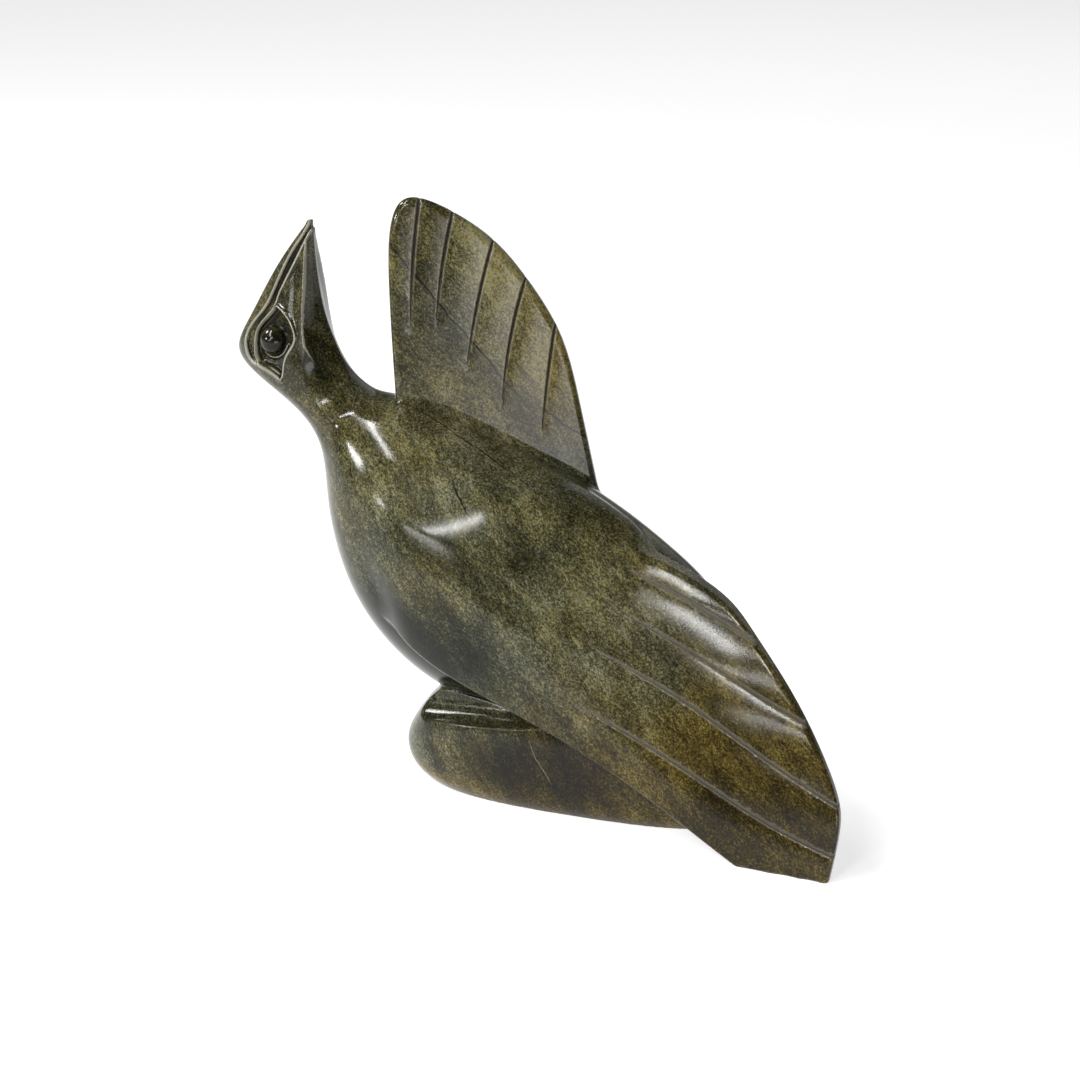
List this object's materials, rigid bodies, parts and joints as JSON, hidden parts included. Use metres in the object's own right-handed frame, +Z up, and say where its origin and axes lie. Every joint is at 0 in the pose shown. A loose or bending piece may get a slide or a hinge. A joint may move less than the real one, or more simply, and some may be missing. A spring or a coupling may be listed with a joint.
{
  "type": "soapstone bird carving",
  "caption": "Polished stone carving of a bird with its head thrown back, one wing raised and one swept to the ground, on its own rock.",
  "frame": {"origin": "middle of the carving's bounding box, on the ground it stands on", "axes": "+X from the beak to the tail and the wing tip, +Y from the folded left wing to the raised right wing, +Z up"},
  "size_m": [0.323, 0.1174, 0.2795],
  "materials": {
    "serpentine": "polished, mottled olive green and brown"
  },
  "bodies": {
    "root": {"bird_carving": "serpentine"}
  },
  "joints": []
}
